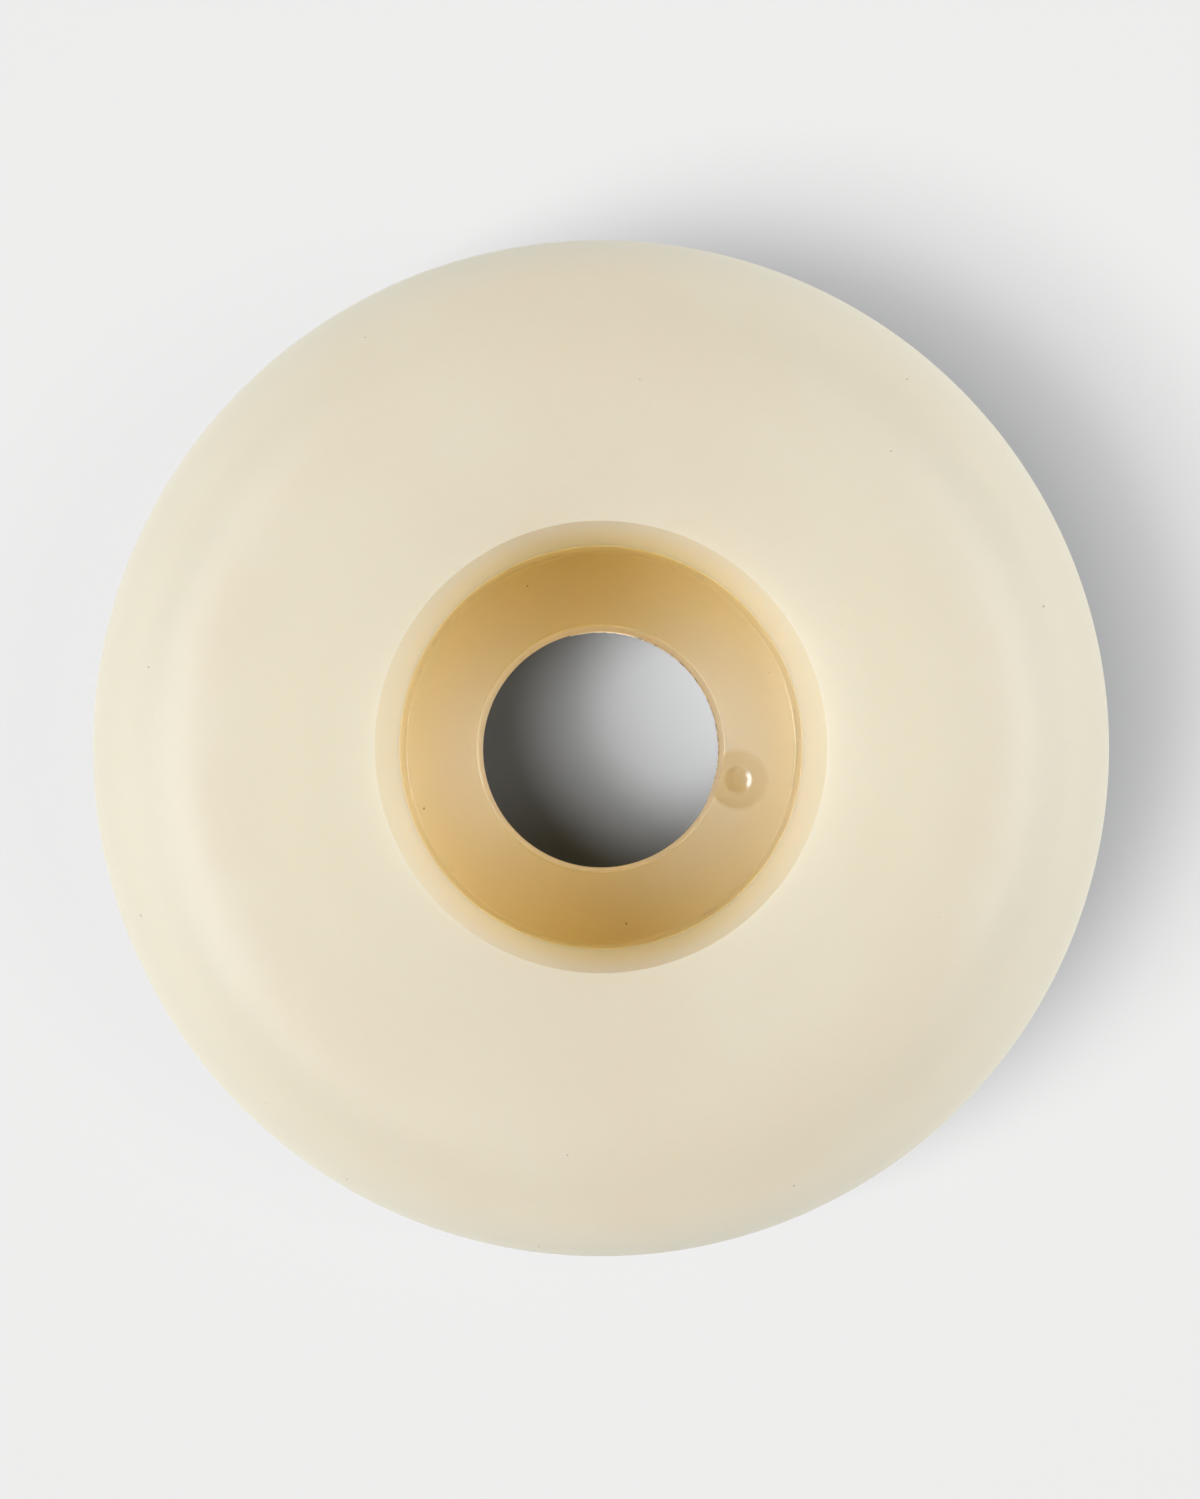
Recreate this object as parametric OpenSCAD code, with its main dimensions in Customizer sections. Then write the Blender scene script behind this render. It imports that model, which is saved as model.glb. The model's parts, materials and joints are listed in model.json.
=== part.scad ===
// Skateboard wheel lying on its side: a cast urethane tyre locked round a moulded core.
// The axle line is the Z axis, the origin is the wheel's centre, and sizes are in millimetres.

/* [Wheel] */
// Diameter across the tread
wheel_d = 56; // [52:0.5:62]
// Overall width, from side face to side face
wheel_w = 32; // [30:0.5:36]
// Radius of the shoulder that turns each side face into the tread
shoulder_r = 7.5; // [5:0.5:9]

/* [Bearing seats] */
// Diameter of the bearing that is pressed into each seat
bearing_d = 22; // [20:0.5:24]
// Width of that bearing, which is the depth of the seat
bearing_w = 7; // [6:0.5:8]
// How much smaller than the bearing the seat is, on the diameter
seat_press = 0.1; // [0.02:0.02:0.2]
// Lead-in chamfer at the mouth of each seat
seat_chamfer = 0.1; // [0.05:0.05:0.5]

/* [Ledge] */
// Thickness of the ledge that keeps the two bearings apart
ledge_w = 10; // [8:0.5:12]
// Diameter of the bore through the ledge
bore_d = 13.7; // [11:0.1:16]
// Rounding of the two edges of the bore
bore_edge_r = 0.2; // [0.1:0.05:0.8]

/* [Hub mouth] */
// How far the lip of the tyre flares outwards above a seat
flare = 1.1; // [0.5:0.1:2]
// Width of the dish from the edge of the flare to the flat side face
dish_reach = 3.4; // [1.5:0.1:4]
// Depth of the dish at the edge of the flare
dish_depth = 0.4; // [0.2:0.05:0.8]

/* [Keying] */
// Wall of the core round the bearing seats
core_wall = 3; // [2:0.25:4]
// How far the keying flange stands out of that wall
flange_reach = 4; // [3:0.25:6]
// Thickness of the keying flange
flange_w = 6; // [4:0.5:8]
// Number of holes that the tyre is cast through
key_count = 12; // [6:1:16]
// Diameter of each of those holes
key_d = 2; // [1:0.1:2.5]

/* [Gate mark] */
// Diameter of the round recess that keeps the gate's scar below the ledge
gate_d = 3.2; // [2:0.1:4]
// Depth of the recess
gate_depth = 0.25; // [0.2:0.05:0.8]
// Distance from the edge of the bore to the middle of the recess
gate_inset = 1; // [0.9:0.05:2]
// Direction of the recess from the axle line, in degrees
gate_angle = -13; // [-180:0.5:180]
// Diameter of the pit where the gate was torn off
pit_d = 1.4; // [0.8:0.1:1.4]
// Depth of the pit below the floor of the recess
pit_depth = 0.3; // [0.1:0.05:0.4]

/* [Hidden] */
$fn = 128;

// How far a cutting shape runs past the face that it opens
overrun = 1;

wheel_r = wheel_d / 2;
half_w = wheel_w / 2;
land_r = wheel_r - shoulder_r;
tread_half = half_w - shoulder_r;

ledge_half = ledge_w / 2;
core_half = ledge_half + bearing_w;
bore_r = bore_d / 2;
seat_r = (bearing_d - seat_press) / 2;

foot_r = seat_r + seat_chamfer;
mouth_r = foot_r + flare;
mouth_z = half_w - dish_depth;
dish_end_r = mouth_r + dish_reach;
dish_r = (dish_reach * dish_reach + dish_depth * dish_depth) / (2 * dish_depth);

core_r = seat_r + core_wall;
flange_r = core_r + flange_reach;
key_circle_r = core_r + flange_reach / 2;

gate_r = bore_r + gate_inset;
pit_r = (pit_d * pit_d / 4 + pit_depth * pit_depth) / (2 * pit_depth);

// Draws its children on the upper side of a half section and mirrored on the lower side
module both_sides() {
    children();
    mirror([0, 1]) children();
}

// What is cut away outside one shoulder
module shoulder_cut() {
    translate([land_r, tread_half]) difference() {
        square(shoulder_r + overrun);
        circle(shoulder_r);
    }
}

// The opening of the tyre above one seat: the flared lip and the dish round it
module hub_mouth() {
    polygon([
        [0, core_half],
        [foot_r, core_half],
        [mouth_r, mouth_z],
        [mouth_r, half_w + overrun],
        [0, half_w + overrun],
    ]);
    difference() {
        translate([mouth_r, mouth_z]) square([dish_reach, dish_depth + overrun]);
        translate([dish_end_r, half_w - dish_r]) circle(dish_r);
    }
}

// Half section of the tyre, still filled where the core goes
module tyre_section() {
    difference() {
        translate([0, -half_w]) square([wheel_r, wheel_w]);
        both_sides() {
            shoulder_cut();
            hub_mouth();
        }
    }
}

// Half section of the core before it is bored: the barrel and the keying flange
module core_section() {
    translate([0, -core_half]) square([core_r, 2 * core_half]);
    translate([0, -flange_w / 2]) square([flange_r, flange_w]);
}

// Half section of all that is bored out of the core
module boring_section() {
    translate([0, -ledge_half]) square([bore_r, ledge_w]);
    both_sides() {
        translate([0, ledge_half]) square([seat_r, bearing_w + overrun]);
        polygon([
            [seat_r, core_half - seat_chamfer],
            [foot_r, core_half],
            [seat_r, core_half],
        ]);
        difference() {
            translate([bore_r, ledge_half - bore_edge_r]) square(bore_edge_r);
            translate([bore_r + bore_edge_r, ledge_half - bore_edge_r]) circle(bore_edge_r);
        }
    }
}

// The space that the core takes up in the tyre
module core_block() {
    difference() {
        rotate_extrude() core_section();
        for (i = [0 : key_count - 1]) rotate(i * 360 / key_count)
            translate([key_circle_r, 0, -flange_w / 2 - overrun])
                cylinder(d = key_d, h = flange_w + 2 * overrun);
    }
}

// Puts its children on the floor of the gate recess
module at_gate() {
    rotate(gate_angle) translate([gate_r, 0, ledge_half - gate_depth]) children();
}

module tyre() {
    color("#e7dbc4") difference() {
        rotate_extrude() tyre_section();
        core_block();
    }
}

module core() {
    color("#cda268") difference() {
        core_block();
        rotate_extrude() boring_section();
        at_gate() {
            cylinder(d = gate_d, h = gate_depth + overrun);
            translate([0, 0, pit_r - pit_depth]) sphere(pit_r);
        }
    }
}

tyre();
core();
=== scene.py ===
"""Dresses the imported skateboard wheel: a cream cast tyre locked round a moulded amber core.

The wheel lies on its side on a pale studio floor, and the camera looks down along its axle line.
Sizes are in metres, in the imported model's own frame: the axle line is Z and the wheel's centre
is the origin.
"""

import json
import logging
import math
import random
from dataclasses import dataclass
from enum import Enum, IntEnum
from typing import Optional, Sequence, Union

import bmesh
import bpy
from mathutils import Matrix, Vector


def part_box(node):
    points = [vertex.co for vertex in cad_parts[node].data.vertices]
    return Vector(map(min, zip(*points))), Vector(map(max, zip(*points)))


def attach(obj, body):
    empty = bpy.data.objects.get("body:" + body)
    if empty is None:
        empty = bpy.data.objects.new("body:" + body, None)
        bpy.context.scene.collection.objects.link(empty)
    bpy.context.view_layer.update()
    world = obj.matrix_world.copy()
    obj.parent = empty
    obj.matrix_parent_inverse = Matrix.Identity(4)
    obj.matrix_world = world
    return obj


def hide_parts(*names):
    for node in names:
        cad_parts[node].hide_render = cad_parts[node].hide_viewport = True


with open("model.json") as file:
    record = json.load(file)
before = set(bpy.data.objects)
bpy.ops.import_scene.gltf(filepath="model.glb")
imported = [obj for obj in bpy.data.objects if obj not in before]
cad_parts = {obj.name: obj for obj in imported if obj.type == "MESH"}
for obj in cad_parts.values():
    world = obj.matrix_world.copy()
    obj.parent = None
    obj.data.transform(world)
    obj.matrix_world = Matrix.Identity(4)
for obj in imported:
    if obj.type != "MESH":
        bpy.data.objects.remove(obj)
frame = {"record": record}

log = logging.getLogger("wheel")
MM = 0.001
DIRECT_ONLY = 0
ALL_BOUNCES = 12

Span = tuple[float, float]


class Slot(Enum):
    """The record's material slots."""

    URETHANE = "urethane"
    CORE = "core_plastic"


class Reach(Enum):
    """What a lamp lights."""

    FLOOR = "floor"
    WHEEL = "wheel"
    CORE = "core"
    FLASH = "flash"


class Shine(Enum):
    """How a lamp shows on a surface."""

    BOTH = "both"
    GLOSS = "gloss"
    MATT = "matt"


class ColourMix(IntEnum):
    """Places of the colour sockets of a Mix node."""

    FACTOR = 0
    FIRST = 6
    SECOND = 7
    RESULT = 2


@dataclass(frozen=True)
class WheelSizes:
    """The sizes that the tyre and the core share.

    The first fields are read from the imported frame. The others repeat the values of the source, apart
    from lead_in, the small rounding that shows at the mouth of a seat.
    """

    wheel_r: float
    half_w: float
    core_half: float
    flange_r: float
    seat_r: float
    seat_wall: float
    bore_r: float
    shoulder_r: float = 7.5 * MM
    seat_chamfer: float = 0.1 * MM
    lead_in: float = 0.04 * MM
    flare: float = 1.1 * MM
    dish_reach: float = 3.4 * MM
    dish_depth: float = 0.4 * MM
    core_wall: float = 3.0 * MM
    flange_w: float = 6.0 * MM

    @classmethod
    def from_frame(cls) -> "WheelSizes":
        """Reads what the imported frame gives.

        Returns:
            The wheel's sizes.
        """
        mounts = {mount["name"]: mount["dims"] for mount in frame["record"]["mounts"]}
        tyre_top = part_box("tyre")[1]
        core_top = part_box("core")[1]
        return cls(
            wheel_r=tyre_top[0],
            half_w=tyre_top[2],
            core_half=core_top[2],
            flange_r=core_top[0],
            seat_r=mounts["front_bearing_seat"]["r_mm"] * MM,
            seat_wall=mounts["front_bearing_seat"]["length_mm"] * MM,
            bore_r=mounts["axle_bore"]["r_mm"] * MM,
        )

    @property
    def ledge_half(self) -> float:
        """Half the thickness of the ledge between the seats."""
        return self.core_half - self.seat_wall - self.seat_chamfer

    @property
    def foot_r(self) -> float:
        """Radius of the foot of the flared lip."""
        return self.seat_r + self.seat_chamfer

    @property
    def mouth_r(self) -> float:
        """Radius of the edge of the flared lip."""
        return self.foot_r + self.flare

    @property
    def core_r(self) -> float:
        """Outer radius of the core's barrel."""
        return self.seat_r + self.core_wall

    @property
    def land_r(self) -> float:
        """Radius at which the flat side face turns into the shoulder."""
        return self.wheel_r - self.shoulder_r

    @property
    def tread_half(self) -> float:
        """Half the width of the straight part of the tread."""
        return self.half_w - self.shoulder_r


@dataclass(frozen=True)
class Corner:
    """One corner of a half section.

    Attributes:
        r: Distance from the axis.
        z: Height along the axis.
        rounding: How far the corner's curve reaches along both its edges, 0 for a sharp corner.
        steps: Number of straight pieces in that curve.
    """

    r: float
    z: float
    rounding: float = 0.0
    steps: int = 4

    def mirrored(self) -> "Corner":
        """Returns the same corner on the other side of the wheel."""
        return Corner(self.r, -self.z, self.rounding, self.steps)


@dataclass(frozen=True)
class Lathe:
    """Turns half sections about the Z axis into closed meshes.

    Attributes:
        around: Number of steps in a full turn.
        longest: Longest edge that is left whole in a section.
        crease_deg: Angle past which an edge is shaded as sharp.
        merge: Distance within which two points become one.
    """

    around: int = 288
    longest: float = 0.8 * MM
    crease_deg: float = 35.0
    merge: float = 1e-7

    def section(self, corners: Sequence[Corner]) -> bmesh.types.BMesh:
        """Draws a closed half section with its corners rounded.

        Args:
            corners: The corners in order round the section.

        Returns:
            A wire outline in the XZ plane.
        """
        shape = bmesh.new()
        points = [shape.verts.new((corner.r, 0.0, corner.z)) for corner in corners]
        shape.faces.new(points)
        for point, corner in zip(points, corners):
            if corner.rounding > 0.0:
                bmesh.ops.bevel(
                    shape,
                    geom=[point],
                    offset=corner.rounding,
                    offset_type="OFFSET",
                    segments=corner.steps,
                    profile=0.5,
                    affect="VERTICES",
                    material=-1,
                )
        bmesh.ops.delete(shape, geom=shape.faces[:], context="FACES_ONLY")
        for edge in [edge for edge in shape.edges if edge.calc_length() > self.longest]:
            cuts = math.ceil(edge.calc_length() / self.longest) - 1
            bmesh.ops.subdivide_edges(shape, edges=[edge], cuts=cuts)
        return shape

    def turn(self, corners: Sequence[Corner], place: Optional[Matrix] = None) -> bmesh.types.BMesh:
        """Turns a half section into a closed shape.

        Args:
            corners: The corners in order round the section.
            place: Where the finished shape goes, or None to leave it on the axis.

        Returns:
            The closed shape.
        """
        shape = self.section(corners)
        bmesh.ops.spin(
            shape,
            geom=shape.verts[:] + shape.edges[:],
            cent=(0.0, 0.0, 0.0),
            axis=(0.0, 0.0, 1.0),
            angle=math.tau,
            steps=self.around,
            use_merge=True,
        )
        bmesh.ops.remove_doubles(shape, verts=shape.verts[:], dist=self.merge)
        if place is not None:
            bmesh.ops.transform(shape, matrix=place, verts=shape.verts[:])
        bmesh.ops.recalc_face_normals(shape, faces=shape.faces[:])
        return shape

    def smooth(self, body: bpy.types.Object) -> None:
        """Shades a body smooth, apart from its true edges.

        Args:
            body: The mesh object to shade.
        """
        body.data.shade_smooth()
        body.data.set_sharp_from_angle(angle=math.radians(self.crease_deg))


def as_object(name: str, shape: bmesh.types.BMesh) -> bpy.types.Object:
    """Makes a shape an object of the scene.

    Args:
        name: The object's name.
        shape: The shape, which is freed.

    Returns:
        The new object, at the origin.
    """
    mesh = bpy.data.meshes.new(name)
    shape.to_mesh(mesh)
    shape.free()
    body = bpy.data.objects.new(name, mesh)
    bpy.context.collection.objects.link(body)
    return body


def cut_out(body: bpy.types.Object, tool: bpy.types.Object) -> None:
    """Cuts a tool out of a body and removes the tool.

    Args:
        body: The mesh object that is changed.
        tool: The closed mesh object that is cut out of it.
    """
    step = body.modifiers.new("cut", "BOOLEAN")
    step.operation = "DIFFERENCE"
    step.solver = "EXACT"
    step.object = tool
    drawn = body.evaluated_get(bpy.context.evaluated_depsgraph_get())
    carved = bpy.data.meshes.new_from_object(drawn)
    carved.name = body.data.name
    body.modifiers.clear()
    body.data = carved
    bpy.data.objects.remove(tool)


def scaled(span: Span, size: float) -> Span:
    """Returns a span in metres that is given in shares of a size."""
    return (span[0] * size, span[1] * size)


Value = Union[float, "Wire"]


class Wire:
    """An output socket whose arithmetic adds Math nodes."""

    def __init__(self, pad: "NodePad", socket: bpy.types.NodeSocket) -> None:
        """Keeps the socket and the pad that it belongs to."""
        self.pad = pad
        self.socket = socket

    def math(self, operation: str, first: Value, second: Value) -> "Wire":
        """Adds one Math node.

        Args:
            operation: The node's operation.
            first: Its first value.
            second: Its second value.

        Returns:
            The node's result.
        """
        return self.pad.node("ShaderNodeMath", {"operation": operation}, {0: first, 1: second})

    def __add__(self, other: Value) -> "Wire":
        """Returns this plus other."""
        return self.math("ADD", self, other)

    def __radd__(self, other: Value) -> "Wire":
        """Returns other plus this."""
        return self.math("ADD", other, self)

    def __sub__(self, other: Value) -> "Wire":
        """Returns this minus other."""
        return self.math("SUBTRACT", self, other)

    def __rsub__(self, other: Value) -> "Wire":
        """Returns other minus this."""
        return self.math("SUBTRACT", other, self)

    def __mul__(self, other: Value) -> "Wire":
        """Returns this times other."""
        return self.math("MULTIPLY", self, other)

    def __rmul__(self, other: Value) -> "Wire":
        """Returns other times this."""
        return self.math("MULTIPLY", other, self)

    def __truediv__(self, other: Value) -> "Wire":
        """Returns this over other."""
        return self.math("DIVIDE", self, other)

    def __rtruediv__(self, other: Value) -> "Wire":
        """Returns other over this."""
        return self.math("DIVIDE", other, self)

    def __pow__(self, other: Value) -> "Wire":
        """Returns this to the power of other."""
        return self.math("POWER", self, other)


class NodePad:
    """The node tree of a material or of the world, filled node by node."""

    def __init__(self, tree: bpy.types.NodeTree) -> None:
        """Empties a node tree to start from.

        Args:
            tree: The tree to fill.
        """
        self.tree = tree
        self.tree.nodes.clear()

    def node(self, kind: str, settings: dict, sockets: dict, output: Union[int, str] = 0) -> "Wire":
        """Adds a node.

        Args:
            kind: The node's type.
            settings: Its settings by name, which are set first.
            sockets: Values or wires for its inputs, by name or place.
            output: The output that is handed back, by name or place.

        Returns:
            A wire on that output.
        """
        made = self.tree.nodes.new(kind)
        for name, setting in settings.items():
            setattr(made, name, setting)
        for key, value in sockets.items():
            if isinstance(value, Wire):
                self.tree.links.new(value.socket, made.inputs[key])
            else:
                made.inputs[key].default_value = value
        return Wire(self, made.outputs[output])

    def end(self, kind: str, surface: "Wire") -> None:
        """Adds the tree's output node.

        Args:
            kind: The output node's type.
            surface: What it shows.
        """
        self.tree.links.new(surface.socket, self.tree.nodes.new(kind).inputs["Surface"])

    def place(self) -> "Wire":
        """Returns the point being shaded, in the object's own metres."""
        return self.node("ShaderNodeTexCoord", {}, {}, "Object")

    def noise(self, at: "Wire", grain: float, detail: float = 2.0) -> "Wire":
        """Adds a cloudy pattern.

        Args:
            at: The point being shaded.
            grain: The size of its clouds.
            detail: How much finer structure it has.

        Returns:
            A value about 0.5.
        """
        sockets = {"Vector": at, "Scale": 1.0 / grain, "Detail": detail}
        return self.node("ShaderNodeTexNoise", {}, sockets, "Fac")

    def fade(self, value: "Wire", start: float, end: float) -> "Wire":
        """Turns a value into a soft mask.

        Args:
            value: The value that is tested.
            start: Where the mask is 0.
            end: Where the mask is 1.

        Returns:
            The mask.
        """
        sockets = {"Value": value, "From Min": start, "From Max": end}
        return self.node("ShaderNodeMapRange", {"interpolation_type": "SMOOTHSTEP"}, sockets)

    def blend(self, factor: Value, first: Union[tuple, "Wire"], second: Union[tuple, "Wire"]) -> "Wire":
        """Mixes two colours.

        Args:
            factor: 0 for the first colour, 1 for the second.
            first: A linear colour with alpha, or a wire.
            second: A linear colour with alpha, or a wire.

        Returns:
            The mixed colour.
        """
        sockets = {ColourMix.FACTOR: factor, ColourMix.FIRST: first, ColourMix.SECOND: second}
        return self.node("ShaderNodeMix", {"data_type": "RGBA"}, sockets, ColourMix.RESULT)

    def bearing(self, at: "Wire", degrees: float) -> "Wire":
        """Tells how near a point is to a line across the wheel.

        Args:
            at: The point being shaded.
            degrees: The line's direction, from +X towards +Y.

        Returns:
            1 on the line, 0 at right angles to it.
        """
        turn = {"Vector": at, "Rotation": (0.0, 0.0, math.radians(-degrees))}
        turned = self.node("ShaderNodeMapping", {"vector_type": "POINT"}, turn)
        sides = [self.node("ShaderNodeSeparateXYZ", {}, {"Vector": turned}, axis) for axis in "XY"]
        along = sides[0] * sides[0]
        return along / (along + sides[1] * sides[1])

    def gap(self, at: "Wire", spot: Vector) -> "Wire":
        """Returns the distance of a point from a fixed spot."""
        sockets = {0: at, 1: spot[:]}
        return self.node("ShaderNodeVectorMath", {"operation": "DISTANCE"}, sockets, "Value")

    def ring_gap(self, at: "Wire", r: float, z: float) -> "Wire":
        """Measures how far a point is from two circles round the axle line.

        Args:
            at: The point being shaded.
            r: The circles' radius.
            z: Their height above and below the wheel's middle.

        Returns:
            The distance from the nearer circle.
        """
        out = self.off_axis(at) - r
        up = self.off_middle(at) - z
        return (out * out + up * up) ** 0.5

    def off_middle(self, at: "Wire") -> "Wire":
        """Returns the height of a point above or below the wheel's middle."""
        height = self.node("ShaderNodeSeparateXYZ", {}, {"Vector": at}, "Z")
        return height.math("ABSOLUTE", height, 0.0)

    def specks(self, at: "Wire", apart: float, r: float) -> "Wire":
        """Scatters round specks.

        Args:
            at: The point being shaded.
            apart: How far they are from each other, about.
            r: Their radius.

        Returns:
            1 in a speck.
        """
        cells = {"Vector": at, "Scale": 1.0 / apart}
        gap = self.node("ShaderNodeTexVoronoi", {}, cells, "Distance")
        return self.fade(gap, 1.3 * r / apart, 0.8 * r / apart)

    def off_axis(self, at: "Wire") -> "Wire":
        """Returns the distance of a point from the axle line."""
        sides = [self.node("ShaderNodeSeparateXYZ", {}, {"Vector": at}, axis) for axis in "XY"]
        return (sides[0] * sides[0] + sides[1] * sides[1]) ** 0.5


@dataclass(frozen=True)
class Paint:
    """A colour by its screen levels, 0 to 255."""

    red: int
    green: int
    blue: int

    def linear(self) -> tuple[float, float, float, float]:
        """Undoes the screen's standard curve.

        Returns:
            The colour in the linear values that a shader takes, with alpha 1.
        """
        light = []
        for level in (self.red / 255, self.green / 255, self.blue / 255):
            light.append(level / 12.92 if level <= 0.04045 else ((level + 0.055) / 1.055) ** 2.4)
        return (light[0], light[1], light[2], 1.0)


@dataclass(frozen=True)
class GateMark:
    """The round recess in the upper ledge that keeps what is left of the gate low, with a pit in its
    floor.

    Attributes:
        r: Radius of the recess.
        depth: Its depth.
        inset: Distance of its middle from the bore's edge.
        bearing_deg: Its direction from the axle line, from +X towards +Y.
        rim_rounding: Rounding of its upper edge.
        rim_reach: How far its sloping rim reaches inwards.
        rim_ease: Rounding of the rim's foot, as a share of that reach.
        mouth_reach: How far the cutting tool spreads past the recess, above the ledge.
        mouth_rise: How far the tool's spread rises on the way out.
        pit_r: Radius of the pit.
        pit_depth: Its depth.
        pit_floor: Radius of the pit's floor, as a share of its radius.
        pit_hollow: Rounding of that floor's edge, as a share of its radius.
        pit_lip: Rounding of the pit's upper edge, as a share of its radius.
    """

    r: float = 1.6 * MM
    depth: float = 0.1 * MM
    inset: float = 1.0 * MM
    bearing_deg: float = -13.0
    rim_rounding: float = 0.09 * MM
    rim_reach: float = 0.4 * MM
    rim_ease: float = 0.9
    mouth_reach: float = 0.6 * MM
    mouth_rise: float = 0.02 * MM
    pit_r: float = 0.75 * MM
    pit_depth: float = 0.2 * MM
    pit_floor: float = 0.56
    pit_hollow: float = 0.33
    pit_lip: float = 0.16

    def spot(self, sizes: WheelSizes) -> Vector:
        """Finds the recess.

        Args:
            sizes: The wheel's sizes.

        Returns:
            The middle of the recess's floor.
        """
        spoke = Vector((sizes.bore_r + self.inset, 0.0, sizes.ledge_half - self.depth))
        return Matrix.Rotation(math.radians(self.bearing_deg), 3, "Z") @ spoke


@dataclass(frozen=True)
class CastUrethane:
    """Cream cast urethane: satin, a little translucent, faintly clouded, with a few grit specks.

    The spans of the face's painted sheen, the shoulders' painted sheen and the edge's painted reflection
    are shares of the wheel's radius.
    They run from where a colour starts to where it is full.
    """

    sizes: WheelSizes
    pale: Paint = Paint(232, 223, 200)
    warm: Paint = Paint(231, 219, 194)
    # Painted shade deepening the lip to amber towards its foot; the next colour is its painted highlight
    # along the side lamps' line.
    foot: Paint = Paint(234, 214, 164)
    lip_highlight_paint: Paint = Paint(241, 229, 202)
    # Painted sheen on the shoulders along the side lamps' line.
    pale_sheen_paint: Paint = Paint(234, 228, 208)
    # Painted reflection of the pale floor: the edge and tread are greyer.
    edge: Paint = Paint(223, 217, 196)
    # Painted sheen on the inner face along the side lamps' line.
    face_sheen_paint: Paint = Paint(238, 229, 203)
    grit: Paint = Paint(128, 112, 80)
    face_sheen_span: Span = (0.78, 0.6)
    shoulder_sheen_span: Span = (0.74, 0.86)
    grazing_reflection_span: Span = (0.9, 0.985)
    # Direction of the side lamps, along which light is painted.
    lamp_axis_deg: float = 3.0
    cloud: float = 9.0 * MM
    cloud_span: Span = (0.3, 0.7)
    grit_apart: float = 3.2 * MM
    grit_r: float = 0.07 * MM
    grit_share: float = 0.5
    grain: float = 0.25 * MM
    mould_rings: float = 0.2 * MM
    roughness: float = 0.42
    uneven: float = 0.06
    uneven_patch: float = 3.0 * MM
    subsurface: float = 0.3
    bleed: float = 1.5 * MM

    def zone(self, pad: NodePad, at: Wire, span: Span) -> Wire:
        """Marks a ring of the tyre.

        Args:
            pad: The material's node tree.
            at: The point being shaded.
            span: Where the ring starts and where it is full, in shares of the wheel's radius.

        Returns:
            1 where it is full.
        """
        return pad.fade(pad.off_axis(at), *scaled(span, self.sizes.wheel_r))

    def colour(self, pad: NodePad, at: Wire) -> Wire:
        """Mixes the colour: clouds, painted shade that deepens the lip to amber towards its foot with a
        painted highlight along the side lamps' line, and grit.

        Along the side lamps' line the face has a painted sheen and the shoulders a paler painted sheen.
        The tread is duller, a painted reflection of the pale floor.

        Args:
            pad: The material's node tree.
            at: The point being shaded.

        Returns:
            The colour.
        """
        # The side lamps' line, along which the painted sheen and highlight fall.
        lit_band = pad.bearing(at, self.lamp_axis_deg)
        clouds = pad.fade(pad.noise(at, self.cloud), *self.cloud_span)
        cast = pad.blend(clouds, self.pale.linear(), self.warm.linear())
        # Painted sheen on the inner face along that line.
        cast = pad.blend(self.zone(pad, at, self.face_sheen_span) * lit_band, cast, self.face_sheen_paint.linear())
        # Painted shade deepens the lip to amber towards its foot, with a painted highlight along the side
        # lamps' line.
        thin = pad.fade(pad.off_axis(at), self.sizes.mouth_r, self.sizes.foot_r)
        foot = pad.blend(lit_band, self.foot.linear(), self.lip_highlight_paint.linear())
        cast = pad.blend(thin, cast, foot)
        # Painted sheen on the shoulders along the side lamps' line.
        cast = pad.blend(self.zone(pad, at, self.shoulder_sheen_span) * lit_band, cast, self.pale_sheen_paint.linear())
        # Painted reflection of the pale floor makes the edge and tread greyer.
        cast = pad.blend(self.zone(pad, at, self.grazing_reflection_span), cast, self.edge.linear())
        specks = self.grit_share * pad.specks(at, self.grit_apart, self.grit_r)
        return pad.blend(specks, cast, self.grit.linear())

    def material(self) -> bpy.types.Material:
        """Builds the finish.

        Returns:
            The material.
        """
        made = bpy.data.materials.new("cast urethane")
        made.use_nodes = True
        pad = NodePad(made.node_tree)
        at = pad.place()
        height = pad.node("ShaderNodeSeparateXYZ", {}, {"Vector": at}, "Z")
        ring = pad.node("ShaderNodeCombineXYZ", {}, {"X": pad.off_axis(at), "Y": height})
        relief = pad.noise(at, self.grain, detail=3.0) + pad.noise(ring, self.mould_rings)
        bump = {"Strength": 0.2, "Distance": 0.004 * MM, "Height": relief}
        sockets = {
            "Base Color": self.colour(pad, at),
            "Roughness": self.roughness + self.uneven * (pad.noise(at, self.uneven_patch) - 0.5),
            "Normal": pad.node("ShaderNodeBump", {}, bump, "Normal"),
            "Subsurface Weight": self.subsurface,
            "Subsurface Radius": (1.0, 0.85, 0.7),
            "Subsurface Scale": self.bleed,
        }
        pad.end("ShaderNodeOutputMaterial", pad.node("ShaderNodeBsdfPrincipled", {}, sockets))
        return made


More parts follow.
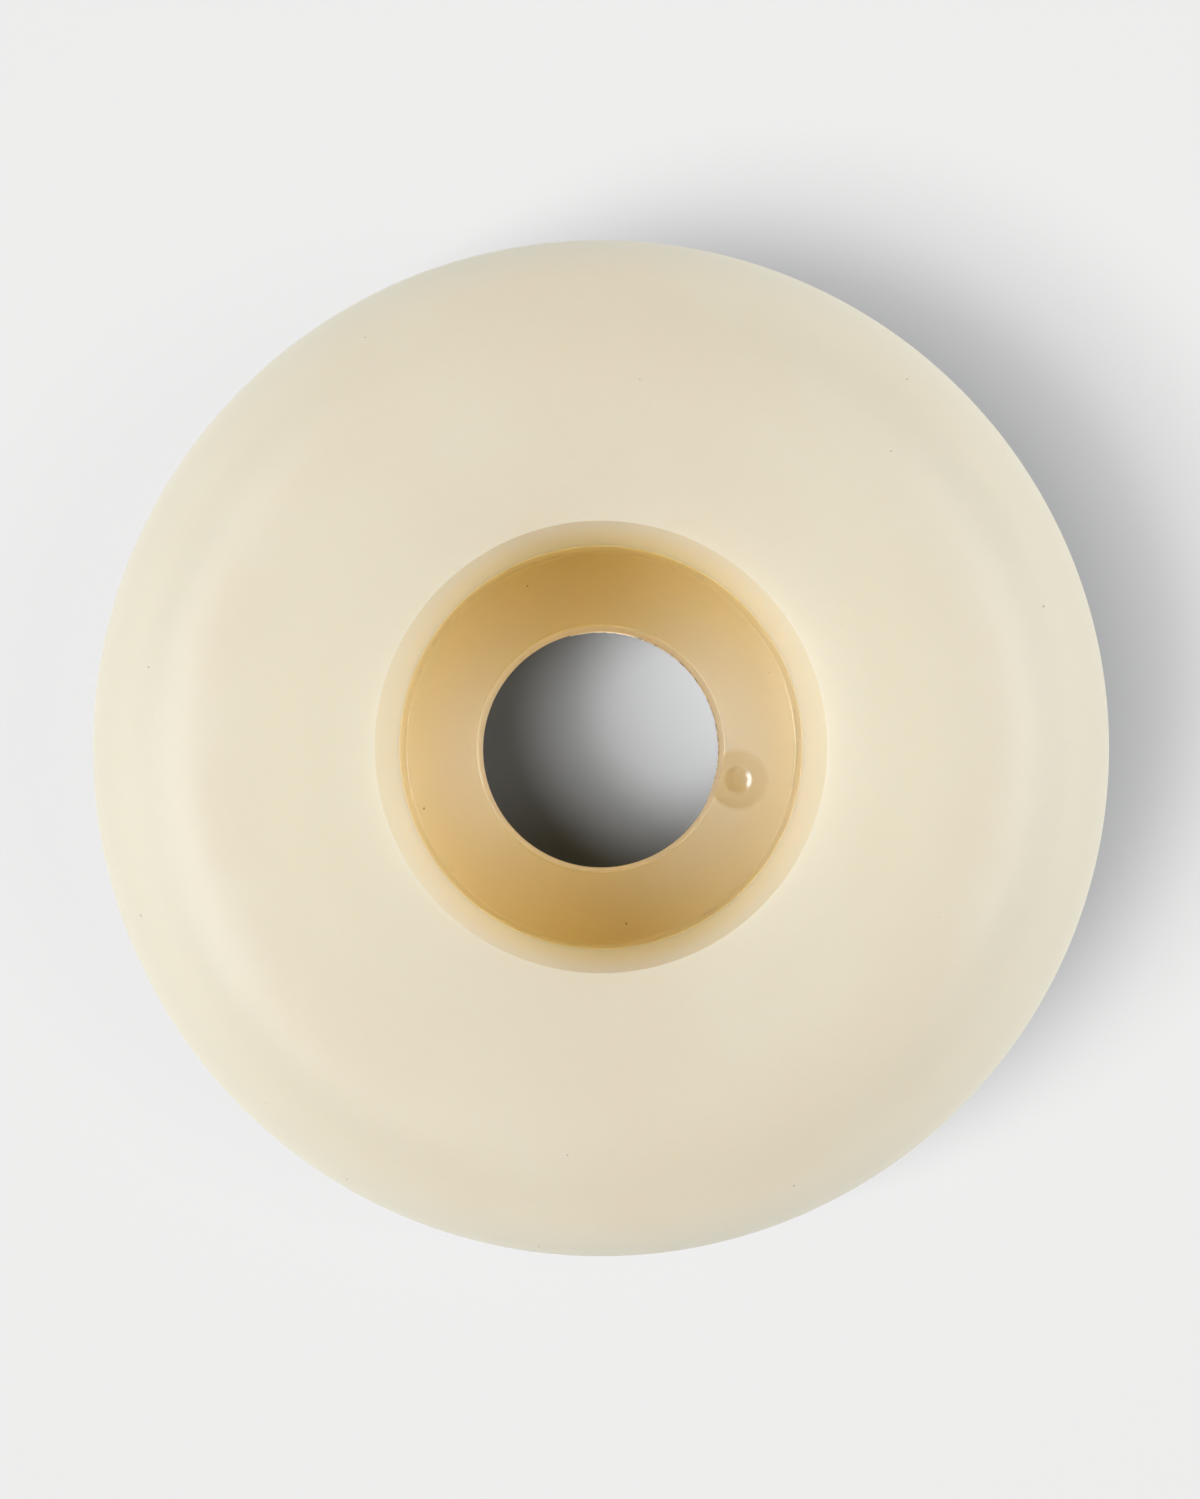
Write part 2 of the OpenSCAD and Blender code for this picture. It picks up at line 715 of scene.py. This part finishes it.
@dataclass(frozen=True)
class MouldedCore:
    """Amber moulded plastic: translucent, brushed in rings by the mould, polished at its edges.

    A span runs from where a mark starts to where it is full. Those of the painted shade in the gate's
    recess and of the gate are in shares of the gate recess's radius, and those of the pit's painted shade
    and of its flank are in shares of the pit's radius.
    """

    sizes: WheelSizes
    gate: GateMark
    # The next two colours are painted light and painted shade: paler along the side lamps' line, deeper
    # across it.
    pale: Paint = Paint(247, 232, 200)
    deep: Paint = Paint(246, 220, 150)
    # Painted sheen near the gate.
    pale_sheen_paint: Paint = Paint(246, 240, 226)
    grit: Paint = Paint(140, 102, 50)
    # Painted shade in the gate's recess and pit.
    recess_shade: Paint = Paint(224, 204, 151)
    # Painted shade up the seats' walls.
    wall: Paint = Paint(238, 204, 124)
    # Painted shade towards the seats' corners.
    rim: Paint = Paint(245, 216, 110)
    # Direction of the side lamps; the next three shape the painted pale band along it.
    lamp_axis_deg: float = 3.0
    lit_band: float = 6.0 * MM
    lit_band_share: float = 0.85
    lit_band_blur: float = 0.2
    gate_sheen_span: Span = (14.0 * MM, 3.0 * MM)
    gate_sheen_share: float = 0.4
    corner_shade_start: float = 0.7 * MM
    corner_shade_share: float = 0.25
    grit_apart: float = 2.2 * MM
    grit_r: float = 0.06 * MM
    grit_share: float = 0.7
    recess_shade_span: Span = (1.15, 0.9)
    recess_shade_share: float = 0.6
    pit_shade_span: Span = (1.0, 0.4)
    pit_shade_share: float = 0.4
    wall_shade_rise: float = 1.5 * MM
    wall_shade_share: float = 0.25
    bore_polish: Span = (0.22 * MM, 0.15 * MM)
    seat_polish: Span = (0.2 * MM, 0.14 * MM)
    seat_sides: Span = (0.93, 0.98)
    gate_clear: Span = (1.0, 1.2)
    flank_out: float = 0.9
    flank_span: Span = (0.75, 0.55)
    flank_inner: Span = (0.7, 0.82)
    flank_outer: Span = (1.1, 1.0)
    grain: float = 0.4 * MM
    roughness: float = 0.44
    uneven: float = 0.08
    uneven_patch: float = 2.0 * MM
    polished: float = 0.16
    turned: float = 0.9
    subsurface: float = 0.3
    bleed: float = 1.2 * MM

    def colour(self, pad: NodePad, at: Wire) -> Wire:
        """Mixes the colour: paler along the side lamps' line as painted light, deeper across it as painted
        shade, and a painted sheen near the gate, with a few specks.

        It is painted deeper, as shade, in the gate's recess and pit, towards the seats' corners and up the
        walls of the seats.

        Args:
            pad: The material's node tree.
            at: The point being shaded.

        Returns:
            The colour.
        """
        gap = pad.gap(at, self.gate.spot(self.sizes))
        near = pad.fade(gap, *self.gate_sheen_span)
        # Painted light paler along the side lamps' line, more so near the gate, and painted shade deeper
        # amber across it.
        along = pad.bearing(at, self.lamp_axis_deg) * (self.lit_band_share + (1.0 - self.lit_band_share) * near)
        lit_band_mask = along + self.lit_band_blur * (pad.noise(at, self.lit_band) - 0.5)
        moulded = pad.blend(lit_band_mask, self.deep.linear(), self.pale.linear())
        # Painted sheen near the gate.
        moulded = pad.blend(self.gate_sheen_share * near, moulded, self.pale_sheen_paint.linear())
        # Painted shade: deeper amber towards the seats' corners.
        rim = pad.fade(pad.off_axis(at), self.sizes.bore_r + self.corner_shade_start, self.sizes.seat_r)
        moulded = pad.blend(self.corner_shade_share * rim, moulded, self.rim.linear())
        specks = self.grit_share * pad.specks(at, self.grit_apart, self.grit_r)
        moulded = pad.blend(specks, moulded, self.grit.linear())
        # Painted shade in the gate's recess, deeper in its pit.
        recess_shade = self.recess_shade_share * pad.fade(gap, *scaled(self.recess_shade_span, self.gate.r))
        recess_shade = recess_shade + self.pit_shade_share * pad.fade(gap, *scaled(self.pit_shade_span, self.gate.pit_r))
        moulded = pad.blend(recess_shade, moulded, self.recess_shade.linear())
        # Painted shade up the walls of the seats.
        low = self.sizes.ledge_half
        wall = self.wall_shade_share * pad.fade(pad.off_middle(at), low, low + self.wall_shade_rise)
        return pad.blend(wall, moulded, self.wall.linear())

    def edges(self, pad: NodePad, at: Wire) -> Wire:
        """Marks what is polished: the bore's edges outside the gate, and the seats' corners on two sides.

        Args:
            pad: The material's node tree.
            at: The point being shaded.

        Returns:
            1 where it is polished.
        """
        sizes = self.sizes
        gate_gap = pad.gap(at, self.gate.spot(sizes))
        bore = pad.fade(pad.ring_gap(at, sizes.bore_r, sizes.ledge_half), *self.bore_polish)
        bore = bore * pad.fade(gate_gap, *scaled(self.gate_clear, self.gate.r))
        seat = pad.fade(pad.ring_gap(at, sizes.seat_r, sizes.ledge_half), *self.seat_polish)
        seat = seat * pad.fade(pad.bearing(at, 0.0), *self.seat_sides)
        return bore.math("MAXIMUM", bore, seat)

    def torn_flank(self, pad: NodePad, at: Wire) -> Wire:
        """Marks the flank of the pit that the torn-off gate left as smooth as glass.

        Args:
            pad: The material's node tree.
            at: The point being shaded.

        Returns:
            1 on the flank.
        """
        pit_r = self.gate.pit_r
        middle = self.gate.spot(self.sizes)
        flank = middle + Vector((self.flank_out * pit_r, 0.0, 0.0))
        side = pad.fade(pad.gap(at, flank), *scaled(self.flank_span, pit_r))
        inner = pad.fade(pad.gap(at, middle), *scaled(self.flank_inner, pit_r))
        outer = pad.fade(pad.gap(at, middle), *scaled(self.flank_outer, pit_r))
        return side * inner * outer

    def material(self) -> bpy.types.Material:
        """Builds the finish.

        Returns:
            The material.
        """
        made = bpy.data.materials.new("moulded core")
        made.use_nodes = True
        pad = NodePad(made.node_tree)
        at = pad.place()
        matt = self.roughness + self.uneven * (pad.noise(at, self.uneven_patch) - 0.5)
        polish = self.edges(pad, at)
        relief = pad.noise(at, self.grain, detail=3.0)
        bump = {"Strength": 0.2, "Distance": 0.006 * MM, "Height": relief}
        sockets = {
            "Base Color": self.colour(pad, at),
            "Roughness": matt * (1.0 - polish) + self.polished * polish,
            "Normal": pad.node("ShaderNodeBump", {}, bump, "Normal"),
            "Anisotropic": self.turned,
            "Anisotropic Rotation": 0.25,
            "Coat Weight": self.torn_flank(pad, at),
            "Coat Roughness": 0.08,
            "Coat IOR": 2.0,
            "Subsurface Weight": self.subsurface,
            "Subsurface Radius": (1.0, 0.8, 0.6),
            "Subsurface Scale": self.bleed,
        }
        pad.end("ShaderNodeOutputMaterial", pad.node("ShaderNodeBsdfPrincipled", {}, sockets))
        return made


@dataclass(frozen=True)
class ThinFlash:
    """The core's plastic where it is as thin as foil: pale on one stretch, darker elsewhere, with darker,
    rougher flecks.
    """

    pale: Paint = Paint(246, 236, 212)
    # Darker tone away from the pale stretch, and darker, rougher flecks.
    dark_tone: Paint = Paint(184, 168, 136)
    dark_fleck: Paint = Paint(116, 96, 68)
    pale_stretch_deg: float = 90.0
    pale_stretch_span: Span = (0.9, 0.95)
    grain: float = 0.3 * MM
    fleck_span: Span = (0.5, 0.6)
    roughness: float = 0.3
    fleck_roughness: float = 0.2

    def material(self) -> bpy.types.Material:
        """Builds the finish.

        Returns:
            The material.
        """
        made = bpy.data.materials.new("thin flash")
        made.use_nodes = True
        pad = NodePad(made.node_tree)
        at = pad.place()
        pale_stretch = pad.fade(pad.bearing(at, self.pale_stretch_deg), *self.pale_stretch_span)
        flecks = pad.fade(pad.noise(at, self.grain, detail=1.0), *self.fleck_span) * (1.0 - pale_stretch)
        colour = pad.blend(pale_stretch, self.dark_tone.linear(), self.pale.linear())
        sockets = {
            "Base Color": pad.blend(flecks, colour, self.dark_fleck.linear()),
            "Roughness": self.roughness + self.fleck_roughness * flecks,
        }
        pad.end("ShaderNodeOutputMaterial", pad.node("ShaderNodeBsdfPrincipled", {}, sockets))
        return made


@dataclass
class Tyre:
    """The cast tyre: tread, shoulders, side faces, dished mouths and the cavity round the core.

    The side face starts to fall at crown_r and falls faster from brow_r on. dish_share keeps the dish's
    curve a little shorter than the edges that it joins.
    """

    sizes: WheelSizes
    lathe: Lathe
    finish: CastUrethane
    shoulder_reach: float = 6.06 * MM
    brow_r: float = 21.0 * MM
    brow_slope: float = 0.194
    brow_reach: float = 1.04 * MM
    crown_r: float = 18.6 * MM
    crown_slope: float = 0.07
    crown_reach: float = 1.3 * MM
    dish_share: float = 0.98
    mouth_rounding: float = 0.4 * MM

    def side(self) -> list[Corner]:
        """Lists the upper half of the section.

        Returns:
            The corners from the tread to the middle of the cavity.
        """
        sizes = self.sizes
        dish_r = (sizes.dish_reach**2 + sizes.dish_depth**2) / (2 * sizes.dish_depth)
        dish_angle = math.asin(sizes.dish_reach / dish_r)
        dish_tangent = dish_r * math.tan(dish_angle / 2)
        dish_corner_r = sizes.mouth_r + sizes.dish_reach - dish_tangent
        mouth_z = sizes.half_w - sizes.dish_depth
        brow_z = sizes.half_w - self.crown_slope * (self.brow_r - self.crown_r)
        tread_z = brow_z - self.brow_slope * (sizes.wheel_r - self.brow_r)
        return [
            Corner(sizes.wheel_r, tread_z, self.shoulder_reach, steps=28),
            Corner(self.brow_r, brow_z, self.brow_reach, steps=8),
            Corner(self.crown_r, sizes.half_w, self.crown_reach, steps=10),
            Corner(dish_corner_r, sizes.half_w, self.dish_share * dish_tangent, steps=10),
            Corner(sizes.mouth_r, mouth_z, self.mouth_rounding, steps=5),
            Corner(sizes.seat_r + sizes.lead_in, sizes.core_half),
            Corner(sizes.core_r, sizes.core_half),
            Corner(sizes.core_r, sizes.flange_w / 2),
            Corner(sizes.flange_r, sizes.flange_w / 2),
        ]

    def build(self) -> bpy.types.Object:
        """Models the tyre and dresses it.

        Returns:
            The finished piece.
        """
        upper = self.side()
        lower = [corner.mirrored() for corner in reversed(upper)]
        body = as_object("cast_tyre", self.lathe.turn(upper + lower))
        self.lathe.smooth(body)
        body.data.materials.append(self.finish.material())
        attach(body, "root")
        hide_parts("tyre")
        return body


@dataclass
class Core:
    """The moulded core: seats, ledge, bore, gate mark and keying flange.

    overrun is how far the gate's cutting tool runs on above the ledge, and slack is the hair's breadth
    that keeps the core's outside off the tyre's cavity.
    """

    sizes: WheelSizes
    gate: GateMark
    lathe: Lathe
    finish: MouldedCore
    bore_rounding: float = 0.13 * MM
    seat_rounding: float = 0.14 * MM
    overrun: float = 1.0 * MM
    slack: float = 0.004 * MM

    def side(self) -> list[Corner]:
        """Lists the upper half of the section.

        Returns:
            The corners from the flange inwards to the bore.
        """
        sizes = self.sizes
        barrel_r = sizes.core_r - self.slack
        flange_z = sizes.flange_w / 2 - self.slack
        top_z = sizes.core_half - self.slack
        return [
            Corner(sizes.flange_r - self.slack, flange_z),
            Corner(barrel_r, flange_z),
            Corner(barrel_r, top_z),
            Corner(sizes.seat_r, top_z, sizes.lead_in, steps=3),
            Corner(sizes.seat_r, sizes.ledge_half, self.seat_rounding, steps=6),
            Corner(sizes.bore_r, sizes.ledge_half, self.bore_rounding, steps=6),
        ]

    def gate_tool(self) -> bpy.types.Object:
        """Models what the gate's recess and its pit take out of the ledge.

        Returns:
            The cutting tool.
        """
        gate = self.gate
        mouth_r = gate.r + gate.mouth_reach
        corners = [
            Corner(0.0, gate.depth + self.overrun),
            Corner(0.0, -gate.pit_depth),
            Corner(gate.pit_floor * gate.pit_r, -gate.pit_depth, gate.pit_hollow * gate.pit_r, steps=10),
            Corner(gate.pit_r, 0.0, gate.pit_lip * gate.pit_r, steps=5),
            Corner(gate.r - gate.rim_reach, 0.0, gate.rim_ease * gate.rim_reach, steps=6),
            Corner(gate.r, gate.depth, gate.rim_rounding, steps=5),
            Corner(mouth_r, gate.depth + gate.mouth_rise),
            Corner(mouth_r, gate.depth + self.overrun),
        ]
        place = Matrix.Translation(gate.spot(self.sizes))
        small = Lathe(around=64, longest=self.lathe.longest)
        return as_object("gate_tool", small.turn(corners, place))

    def build(self) -> bpy.types.Object:
        """Models the core and dresses it.

        Returns:
            The finished piece.
        """
        upper = self.side()
        lower = [corner.mirrored() for corner in reversed(upper)]
        body = as_object("moulded_core", self.lathe.turn(upper + lower))
        cut_out(body, self.gate_tool())
        self.lathe.smooth(body)
        body.data.materials.append(self.finish.material())
        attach(body, "root")
        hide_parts("core")
        return body


@dataclass
class BoreFlash:
    """The thin uneven fin that the mould left along part of the bore's lower edge.

    Attributes:
        sizes: The wheel's sizes.
        finish: What the fin is made of.
        start_deg: Where it starts, from +X towards +Y.
        sweep_deg: How far round the bore it runs.
        steps: Number of straight pieces along it.
        root: How deep it is set in the bore's wall.
        lift: Its height above the bore's lower end.
        thickness: Its thickness.
        shortest: The least that it stands out of the wall.
        longest: The most that it stands out of the wall.
        drift: How quickly its width changes along it, 1 for the quickest.
        seed: What the run of its widths starts from.
    """

    sizes: WheelSizes
    finish: ThinFlash
    start_deg: float = -25.0
    sweep_deg: float = 130.0
    steps: int = 260
    root: float = 0.1 * MM
    lift: float = 0.16 * MM
    thickness: float = 0.05 * MM
    shortest: float = 0.03 * MM
    longest: float = 0.085 * MM
    drift: float = 0.5
    seed: int = 7

    def build(self) -> bpy.types.Object:
        """Models the fin and dresses it.

        Returns:
            The finished piece.
        """
        bore_r = self.sizes.bore_r
        chance = random.Random(self.seed)
        height = self.lift - self.sizes.ledge_half
        shape = bmesh.new()
        tip = shape.verts.new((bore_r, 0.0, height))
        root = shape.verts.new((bore_r + self.root, 0.0, height))
        edge = shape.edges.new((tip, root))
        turn = Matrix.Rotation(math.radians(self.start_deg), 3, "Z")
        bmesh.ops.rotate(shape, verts=[tip, root], cent=(0.0, 0.0, 0.0), matrix=turn)
        bmesh.ops.spin(
            shape,
            geom=[tip, root, edge],
            cent=(0.0, 0.0, 0.0),
            axis=(0.0, 0.0, 1.0),
            angle=math.radians(self.sweep_deg),
            steps=self.steps,
        )
        half_way = bore_r + self.root / 2
        edge_points = [point for point in shape.verts if point.co.xy.length < half_way]
        reach = self.shortest
        for point in sorted(edge_points, key=lambda one: math.atan2(one.co.y, one.co.x)):
            reach += self.drift * (chance.uniform(self.shortest, self.longest) - reach)
            point.co.xy *= 1.0 - reach / bore_r
        bmesh.ops.recalc_face_normals(shape, faces=shape.faces[:])
        bmesh.ops.solidify(shape, geom=shape.faces[:], thickness=self.thickness)
        bmesh.ops.recalc_face_normals(shape, faces=shape.faces[:])
        body = as_object("bore_flash", shape)
        body.data.materials.append(self.finish.material())
        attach(body, "root")
        return body


@dataclass(frozen=True)
class Lamp:
    """A soft studio lamp, far enough away to light the whole floor alike.

    Attributes:
        name: The lamp's name.
        azimuth_deg: Where it stands round the wheel, from +X towards +Y.
        zenith_deg: How far it is from straight overhead.
        spread_deg: How wide it looks from the wheel.
        light: What it gives a white surface that faces it, where 1 is white.
        reach: What it lights.
        shine: Whether it lights surfaces, shows in their gloss, or both.
        tint: The colour of its light.
    """

    name: str
    azimuth_deg: float
    zenith_deg: float
    spread_deg: float
    light: float
    reach: Reach
    shine: Shine = Shine.BOTH
    tint: Paint = Paint(255, 255, 255)

    def build(self, lit: Sequence[bpy.types.Object], through: bpy.types.Object) -> bpy.types.Object:
        """Hangs the lamp.

        Args:
            lit: The objects that the lamp lights.
            through: An object that doesn't block it.

        Returns:
            The lamp.
        """
        data = bpy.data.lights.new(self.name, "SUN")
        data.energy = self.light * math.pi
        data.color = self.tint.linear()[:3]
        data.angle = math.radians(self.spread_deg)
        lamp = bpy.data.objects.new(self.name, data)
        turn = Matrix.Rotation(math.radians(self.azimuth_deg), 4, "Z")
        tilt = Matrix.Rotation(math.radians(self.zenith_deg), 4, "Y")
        lamp.matrix_world = turn @ tilt
        bpy.context.collection.objects.link(lamp)
        lamp.light_linking.receiver_collection = bpy.data.collections.new(f"{self.name} lights")
        for item in lit:
            lamp.light_linking.receiver_collection.objects.link(item)
        blockers = bpy.data.collections.new(f"{self.name} passes")
        blockers.objects.link(through)
        blockers.collection_objects[0].light_linking.link_state = "EXCLUDE"
        lamp.light_linking.blocker_collection = blockers
        lamp.visible_diffuse = self.shine is not Shine.GLOSS
        lamp.visible_glossy = self.shine is not Shine.MATT
        data.cycles.max_bounces = DIRECT_ONLY if self.reach is Reach.CORE else ALL_BOUNCES
        return lamp


@dataclass
class Studio:
    """The pale floor, the lamps and the camera above the wheel.

    Attributes:
        sizes: The wheel's sizes.
        backdrop: The colour of the backdrop.
        floor_reach: The floor's radius.
        floor_tint: The light of the lamps that light the floor alone.
        amber_tint: The light that comes up through the core.
        open_floor: The floor's linear colour round the wheel.
        under_floor: Its linear colour below the wheel, where the bore shows it.
        glow: How much of the open floor's picture is its own light.
        glow_light: The strength of that light, where 1 is white.
        ambient: The strength of the even light all round.
        camera_height: The camera's height above the wheel's middle.
        camera_back: How far it stands back from the axle line.
        frame_px: The picture's width and height in pixels.
        outline_px: The outline's radius in the picture, in pixels.
        nudge_px: How far the picture is shifted to the right and up, in pixels.
        sensor: The height of the camera's sensor in millimetres.
    """

    sizes: WheelSizes
    backdrop: Paint = Paint(239, 239, 239)
    floor_reach: float = 3.0
    floor_tint: Paint = Paint(255, 230, 191)
    amber_tint: Paint = Paint(255, 240, 210)
    open_floor: tuple[float, float, float] = (0.101, 0.126, 0.188)
    under_floor: tuple[float, float, float] = (0.0905, 0.116, 0.180)
    glow: float = 0.395
    glow_light: float = 0.893
    ambient: float = 0.12
    camera_height: float = 262.0 * MM
    camera_back: float = 1.8 * MM
    frame_px: tuple[int, int] = (1200, 1499)
    outline_px: float = 508.4
    nudge_px: tuple[float, float] = (1.0, 1.6)
    sensor: float = 36.0

    def floor_material(self) -> bpy.types.Material:
        """Builds the floor's finish, which glows a little outside the wheel's footprint.

        Returns:
            The material.
        """
        made = bpy.data.materials.new("studio floor")
        made.use_nodes = True
        pad = NodePad(made.node_tree)
        outside = pad.fade(pad.off_axis(pad.place()), self.sizes.seat_r, self.sizes.land_r)
        colour = pad.blend(outside, self.under_floor + (1.0,), self.open_floor + (1.0,))
        lit = pad.node("ShaderNodeBsdfDiffuse", {}, {"Color": colour})
        glow = pad.node("ShaderNodeEmission", {}, {"Strength": self.glow_light})
        rays = [
            pad.node("ShaderNodeLightPath", {}, {}, ray)
            for ray in ("Is Camera Ray", "Is Glossy Ray", "Is Transmission Ray")
        ]
        seen = rays[0].math("MAXIMUM", rays[0].math("MAXIMUM", rays[0], rays[1]), rays[2])
        sockets = {0: self.glow * seen * outside, 1: lit, 2: glow}
        pad.end("ShaderNodeOutputMaterial", pad.node("ShaderNodeMixShader", {}, sockets))
        return made

    def floor(self) -> bpy.types.Object:
        """Lays the floor under the wheel.

        Returns:
            The floor.
        """
        shape = bmesh.new()
        low = Matrix.Translation((0.0, 0.0, -self.sizes.half_w))
        bmesh.ops.create_circle(shape, cap_ends=True, radius=self.floor_reach, segments=64, matrix=low)
        floor = as_object("studio_floor", shape)
        floor.data.materials.append(self.floor_material())
        return floor

    def surroundings(self) -> None:
        """Sets a dim even light all round, and a pale backdrop for the camera."""
        world = bpy.data.worlds.new("studio")
        bpy.context.scene.world = world
        world.use_nodes = True
        pad = NodePad(world.node_tree)
        seen = pad.node("ShaderNodeLightPath", {}, {}, "Is Camera Ray")
        dim = (self.ambient, self.ambient, self.ambient, 1.0)
        colour = pad.blend(seen, dim, self.backdrop.linear())
        pad.end("ShaderNodeOutputWorld", pad.node("ShaderNodeBackground", {}, {"Color": colour}))

    def camera(self) -> bpy.types.Object:
        """Hangs the camera over the wheel, as close in as the photograph frames it.

        Returns:
            The camera.
        """
        sizes = self.sizes
        drop = self.camera_height - sizes.tread_half
        shoulder = math.asin(sizes.shoulder_r / math.hypot(sizes.land_r, drop))
        outline = math.atan2(sizes.land_r, drop) + shoulder
        focal_px = self.outline_px / math.tan(outline)
        data = bpy.data.cameras.new("camera")
        data.sensor_fit = "VERTICAL"
        data.sensor_height = self.sensor
        data.lens = self.sensor * focal_px / self.frame_px[1]
        data.clip_start = 0.01
        data.shift_x = -self.nudge_px[0] / self.frame_px[1]
        data.shift_y = -self.nudge_px[1] / self.frame_px[1]
        camera = bpy.data.objects.new("camera", data)
        spot = Vector((0.0, -self.camera_back, self.camera_height))
        aim = Vector((0.0, 0.0, sizes.tread_half)) - spot
        turn = aim.to_track_quat("-Z", "Y").to_matrix().to_4x4()
        camera.matrix_world = Matrix.Translation(spot) @ turn
        bpy.context.collection.objects.link(camera)
        bpy.context.scene.camera = camera
        return camera

    def lamps(self) -> list[Lamp]:
        """Lists the lamps.

        Returns:
            The lamps.
        """
        return [
            Lamp("floor lamp", 206.0, 13.0, 18.0, 3.80, Reach.FLOOR, tint=self.floor_tint),
            Lamp("low floor lamp", 206.0, 25.0, 20.0, 4.28, Reach.FLOOR, tint=self.floor_tint),
            Lamp("right floor lamp", 350.0, 23.0, 16.0, 0.5, Reach.FLOOR, tint=self.floor_tint),
            Lamp("left lamp", 190.0, 57.0, 44.0, 0.462, Reach.WHEEL, Shine.MATT),
            Lamp("left low lamp", 190.0, 74.0, 36.0, 0.3, Reach.WHEEL, Shine.MATT),
            Lamp("right lamp", 6.0, 57.0, 44.0, 0.46, Reach.WHEEL, Shine.MATT),
            Lamp("right low lamp", 6.0, 74.0, 36.0, 0.21, Reach.WHEEL, Shine.MATT),
            Lamp("far lamp", 95.0, 70.0, 50.0, 0.265, Reach.WHEEL, Shine.MATT),
            Lamp("near lamp", 270.0, 70.0, 50.0, 0.215, Reach.WHEEL, Shine.MATT),
            Lamp("left card a", 166.0, 36.0, 44.0, 0.40, Reach.WHEEL, Shine.GLOSS),
            Lamp("left card b", 212.0, 36.0, 44.0, 0.38, Reach.WHEEL, Shine.GLOSS),
            Lamp("right card", 8.0, 33.0, 38.0, 0.46, Reach.WHEEL, Shine.GLOSS),
            Lamp("flash lamp", 206.0, 19.0, 18.0, 0.7, Reach.FLASH),
            Lamp("under lamp", 0.0, 180.0, 100.0, 0.68, Reach.CORE, tint=self.amber_tint),
            Lamp("left strip a", 161.0, 54.0, 20.0, 0.11, Reach.CORE, Shine.GLOSS),
            Lamp("left strip b", 185.0, 54.0, 20.0, 0.11, Reach.CORE, Shine.GLOSS),
            Lamp("left strip c", 209.0, 54.0, 20.0, 0.11, Reach.CORE, Shine.GLOSS),
            Lamp("right strip", 8.0, 50.0, 14.0, 0.12, Reach.CORE, Shine.GLOSS),
        ]

    def build(self, tyre: bpy.types.Object, core: bpy.types.Object, flash: bpy.types.Object) -> None:
        """Sets up the whole studio.

        Args:
            tyre: The tyre.
            core: The core.
            flash: The fin in the core's bore.
        """
        bpy.context.scene.view_settings.view_transform = "Standard"
        floor = self.floor()
        self.surroundings()
        lit = {
            Reach.FLOOR: [floor],
            Reach.WHEEL: [tyre, core, flash],
            Reach.CORE: [core],
            Reach.FLASH: [flash],
        }
        for lamp in self.lamps():
            lamp.build(lit[lamp.reach], floor)
        self.camera()


def main() -> None:
    """Builds the wheel's pieces and the studio in order."""
    logging.basicConfig(level=logging.INFO, format="%(name)s: %(message)s")
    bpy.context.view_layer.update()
    sizes = WheelSizes.from_frame()
    gate = GateMark()
    lathe = Lathe()
    tyre = Tyre(sizes, lathe, CastUrethane(sizes)).build()
    core = Core(sizes, gate, lathe, MouldedCore(sizes, gate)).build()
    flash = BoreFlash(sizes, ThinFlash()).build()
    for piece in (tyre, core, flash):
        log.info("%s has %d faces", piece.name, len(piece.data.polygons))
    Studio(sizes).build(tyre, core, flash)


if __name__ == "__main__":
    main()
